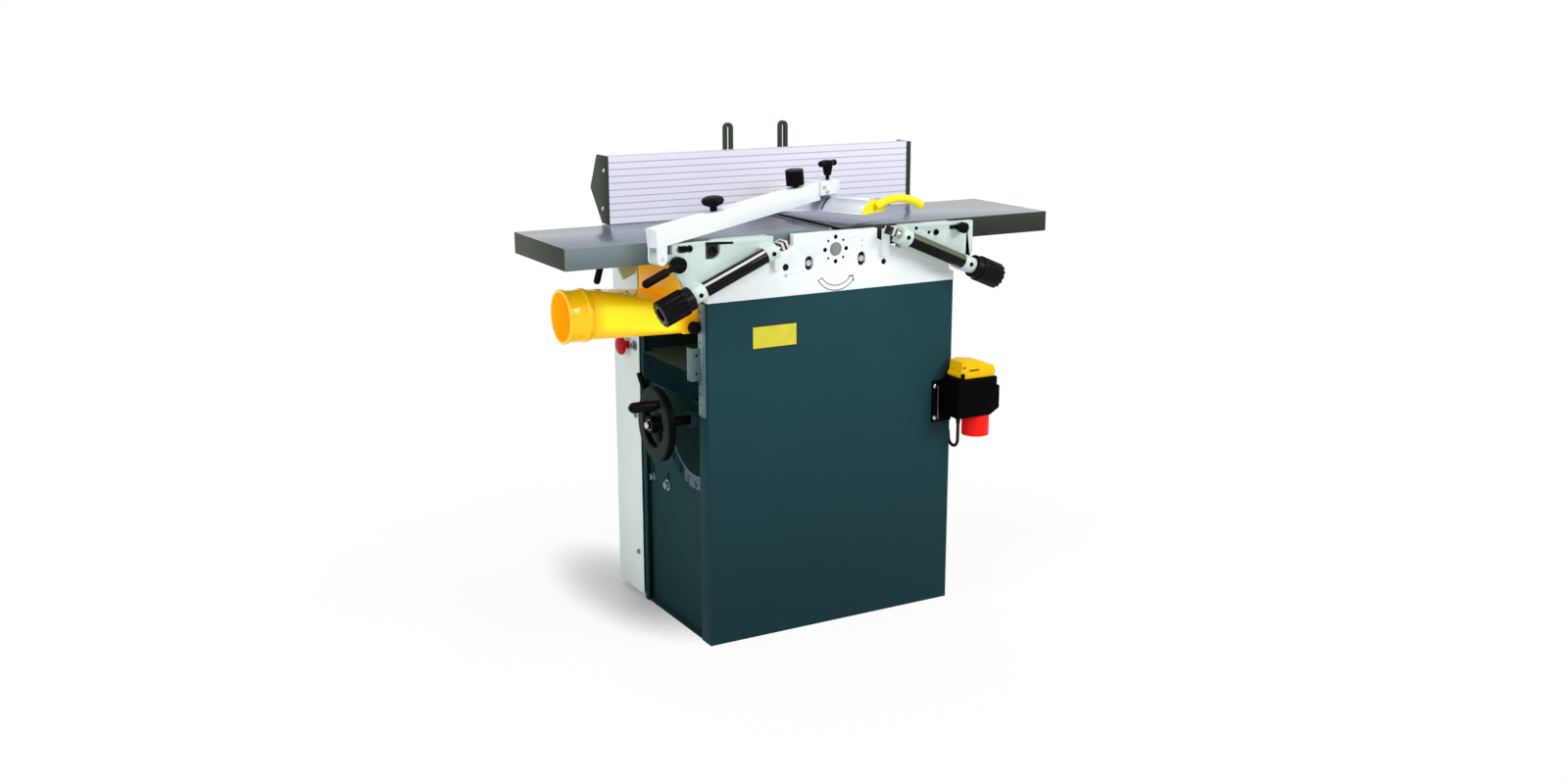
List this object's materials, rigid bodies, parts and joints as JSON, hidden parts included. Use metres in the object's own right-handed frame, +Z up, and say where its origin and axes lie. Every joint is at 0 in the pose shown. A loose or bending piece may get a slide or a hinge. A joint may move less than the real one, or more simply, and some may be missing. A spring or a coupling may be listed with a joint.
{
  "type": "combination planer thicknesser",
  "caption": "Floor-standing combination planer thicknesser: sliding planing tables over a cutterblock, lifting thicknesser table, fence, bridge guard, dust hood and sheet cabinet.",
  "frame": {"origin": "on the floor, under the middle of the cutterblock axis and of the planing tables' width", "axes": "+X along the tables from infeed to outfeed, +Y to the back, where the fence is, +Z up"},
  "size_m": [1.087, 0.493, 0.999],
  "materials": {
    "cabinet_paint": "satin",
    "cover_paint": "satin",
    "cheek_paint": "satin",
    "table_iron": "ground",
    "dark_iron": "as cast",
    "bright_steel": "machined",
    "dark_steel": "machined",
    "fence_aluminium": "anodised",
    "guard_aluminium": "anodised",
    "black_plastic": "moulded",
    "switch_plastic": "moulded",
    "hood_plastic": "moulded",
    "handle_plastic": "moulded",
    "red_plastic": "moulded",
    "rubber": "matt",
    "bracket_green": "satin"
  },
  "bodies": {
    "machine": {"base_plate": "cabinet_paint", "front_panel": "cabinet_paint", "rear_panel": "cabinet_paint", "left_end_panel": "cabinet_paint", "right_end_panel": "cabinet_paint", "drive_cover": "cover_paint", "front_cheek": "cheek_paint", "rear_cheek": "cheek_paint", "bearings": "bright_steel", "tie_bars": "bright_steel", "scales": "bright_steel", "panel_bolts": "bright_steel", "lift_housing": "dark_iron", "motor": "dark_iron", "motor_mount": "dark_iron", "drive_belt": "rubber", "feed_chain": "dark_steel", "switch_plate": "switch_plastic", "switch_box": "switch_plastic", "power_inlet": "red_plastic", "motor_cable": "rubber", "adjuster_blocks": "bright_steel", "fence_rails": "dark_steel"},
    "cutterblock": {"cutter_block": "bright_steel", "cutter_knives": "bright_steel", "cutter_pulley": "dark_steel"},
    "motor_rotor": {"motor_pulley": "dark_steel"},
    "infeed_roller": {"infeed_roller": "bright_steel"},
    "outfeed_roller": {"outfeed_roller": "bright_steel"},
    "feed_drive": {"feed_sprocket": "dark_steel"},
    "kickback_fingers": {"kickback_fingers": "dark_steel"},
    "thickness_table": {"thickness_table": "dark_iron", "lift_columns": "bright_steel", "scale_pointer": "bright_steel"},
    "nut_gear": {"nut_gear": "dark_steel"},
    "handwheel": {"handwheel": "black_plastic", "wheel_shaft": "bright_steel"},
    "crank_grip": {"crank_grip": "black_plastic"},
    "feed_lever": {"feed_lever": "black_plastic"},
    "left_table": {"left_table": "table_iron", "left_brackets": "cheek_paint"},
    "left_adjuster": {"left_adjuster": "dark_steel"},
    "front_lock_lever": {"front_lock_lever": "black_plastic"},
    "rear_lock_lever": {"rear_lock_lever": "black_plastic"},
    "right_table": {"right_table": "table_iron", "right_brackets": "cheek_paint"},
    "right_adjuster": {"right_adjuster": "dark_steel"},
    "right_lock_knob": {"right_lock_knob": "black_plastic"},
    "guard_arm": {"guard_arm": "cheek_paint"},
    "guard_profile": {"guard_profile": "guard_aluminium", "guard_handle": "handle_plastic"},
    "guard_height_knob": {"guard_height_knob": "black_plastic"},
    "guard_tilt_knob": {"guard_tilt_knob": "black_plastic"},
    "guard_clamp_knob": {"guard_clamp_knob": "black_plastic"},
    "fence_carriage": {"fence_carriage": "dark_steel"},
    "fence": {"fence_board": "fence_aluminium", "fence_posts": "bracket_green"},
    "switch_lid": {"switch_lid": "hood_plastic"},
    "stop_button": {"stop_button": "red_plastic"},
    "dust_hood": {"dust_hood": "hood_plastic"}
  },
  "joints": [
    {"name": "cutter_spin", "type": "hinge", "parent": "machine", "child": "cutterblock", "pos_m": [0, 0, 0.771], "axis": [0, 1, 0], "continuous": true},
    {"name": "motor_spin", "type": "hinge", "parent": "machine", "child": "motor_rotor", "pos_m": [0.14, 0.15, 0.205], "axis": [0, 1, 0], "continuous": true},
    {"name": "infeed_roller_spin", "type": "hinge", "parent": "machine", "child": "infeed_roller", "pos_m": [0.06, 0, 0.748], "axis": [0, 1, 0], "continuous": true},
    {"name": "outfeed_roller_spin", "type": "hinge", "parent": "machine", "child": "outfeed_roller", "pos_m": [-0.06, 0, 0.748], "axis": [0, 1, 0], "continuous": true},
    {"name": "feed_drive_spin", "type": "hinge", "parent": "machine", "child": "feed_drive", "pos_m": [0, 0.16, 0.64], "axis": [0, 1, 0], "continuous": true},
    {"name": "kickback_swing", "type": "hinge", "parent": "machine", "child": "kickback_fingers", "pos_m": [0.112, 0, 0.738], "axis": [0, 1, 0], "range_deg": [0, 25]},
    {"name": "table_lift", "type": "slide", "parent": "machine", "child": "thickness_table", "axis": [0, 0, 1], "range_m": [-0.01, 0.022]},
    {"name": "nut_turn", "type": "hinge", "parent": "machine", "child": "nut_gear", "pos_m": [0, -0.06, 0.445], "axis": [0, 0, 1], "range_deg": [-910, 1990]},
    {"name": "handwheel_turn", "type": "hinge", "parent": "machine", "child": "handwheel", "pos_m": [-0.352, -0.06, 0.445], "axis": [1, 0, 0], "range_deg": [-1990, 910]},
    {"name": "crank_grip_spin", "type": "hinge", "parent": "handwheel", "child": "crank_grip", "pos_m": [-0.4, -0.086, 0.49003], "axis": [1, 0, 0], "continuous": true},
    {"name": "feed_lever_swing", "type": "hinge", "parent": "machine", "child": "feed_lever", "pos_m": [-0.27, 0.1, 0.434], "axis": [1, 0, 0], "range_deg": [-15, 8]},
    {"name": "infeed_depth", "type": "slide", "parent": "machine", "child": "left_table", "axis": [-0.9205, 0, -0.3907], "range_m": [0, 0.008]},
    {"name": "infeed_adjuster_turn", "type": "hinge", "parent": "left_table", "child": "left_adjuster", "pos_m": [-0.226, -0.174, 0.75277], "axis": [0.9205, 0, 0.3907], "range_deg": [-5, 1445]},
    {"name": "front_lock_turn", "type": "hinge", "parent": "left_table", "child": "front_lock_lever", "pos_m": [-0.35, -0.16, 0.77], "axis": [0, 1, 0], "range_deg": [-14, 5]},
    {"name": "rear_lock_turn", "type": "hinge", "parent": "left_table", "child": "rear_lock_lever", "pos_m": [-0.35, 0.16, 0.77], "axis": [0, 1, 0], "range_deg": [-30, 30]},
    {"name": "outfeed_depth", "type": "slide", "parent": "machine", "child": "right_table", "axis": [0.9205, 0, -0.3907], "range_m": [0, 0.006]},
    {"name": "outfeed_adjuster_turn", "type": "hinge", "parent": "right_table", "child": "right_adjuster", "pos_m": [0.226, -0.174, 0.75277], "axis": [-0.9205, 0, 0.3907], "range_deg": [-5, 1085]},
    {"name": "right_lock_turn", "type": "hinge", "parent": "right_table", "child": "right_lock_knob", "pos_m": [0.284, -0.165, 0.797], "axis": [0, 1, 0], "range_deg": [-90, 90]},
    {"name": "guard_lift", "type": "hinge", "parent": "left_table", "child": "guard_arm", "pos_m": [-0.388, -0.158, 0.784], "axis": [0.2934, -0.956, 0], "range_deg": [0, 18]},
    {"name": "guard_slide", "type": "slide", "parent": "guard_arm", "child": "guard_profile", "axis": [0.4067, -0.9135, 0], "range_m": [0, 0.09]},
    {"name": "guard_height_turn", "type": "hinge", "parent": "guard_arm", "child": "guard_height_knob", "pos_m": [-0.03632, -0.05005, 0.88607], "axis": [-0.1083, -0.0332, 0.9936], "range_deg": [-90, 90]},
    {"name": "guard_tilt_turn", "type": "hinge", "parent": "guard_arm", "child": "guard_tilt_knob", "pos_m": [-0.25149, -0.1161, 0.86041], "axis": [-0.1083, -0.0332, 0.9936], "range_deg": [-90, 90]},
    {"name": "guard_clamp_turn", "type": "hinge", "parent": "guard_arm", "child": "guard_clamp_knob", "pos_m": [0.05805, -0.01553, 0.9], "axis": [0, 0, 1], "range_deg": [-90, 90]},
    {"name": "fence_slide", "type": "slide", "parent": "machine", "child": "fence_carriage", "axis": [0, -1, 0], "range_m": [0, 0.012]},
    {"name": "fence_tilt", "type": "hinge", "parent": "fence_carriage", "child": "fence", "pos_m": [0, 0.16, 0.826], "axis": [-1, 0, 0], "range_deg": [0, 45]},
    {"name": "lid_open", "type": "hinge", "parent": "machine", "child": "switch_lid", "pos_m": [0.271, -0.177, 0.497], "axis": [0, -1, 0], "range_deg": [0, 70]},
    {"name": "stop_press", "type": "slide", "parent": "machine", "child": "stop_button", "axis": [1, 0, 0], "range_m": [0, 0.005], "stiffness_N_per_m": 400},
    {"name": "hood_slide", "type": "slide", "parent": "machine", "child": "dust_hood", "axis": [-1, 0, 0], "range_m": [0, 0.33]}
  ],
  "couplings": [
    {"joint": "motor_spin", "follows": "cutter_spin", "ratio": 0.44231},
    {"joint": "infeed_roller_spin", "follows": "cutter_spin", "ratio": -0.0143},
    {"joint": "outfeed_roller_spin", "follows": "cutter_spin", "ratio": -0.0143},
    {"joint": "feed_drive_spin", "follows": "cutter_spin", "ratio": -0.0143},
    {"joint": "nut_turn", "follows": "table_lift", "rad_per_m": 1570.8},
    {"joint": "handwheel_turn", "follows": "table_lift", "rad_per_m": -1570.8},
    {"joint": "infeed_adjuster_turn", "follows": "infeed_depth", "rad_per_m": 3141.6},
    {"joint": "outfeed_adjuster_turn", "follows": "outfeed_depth", "rad_per_m": 3141.6}
  ]
}
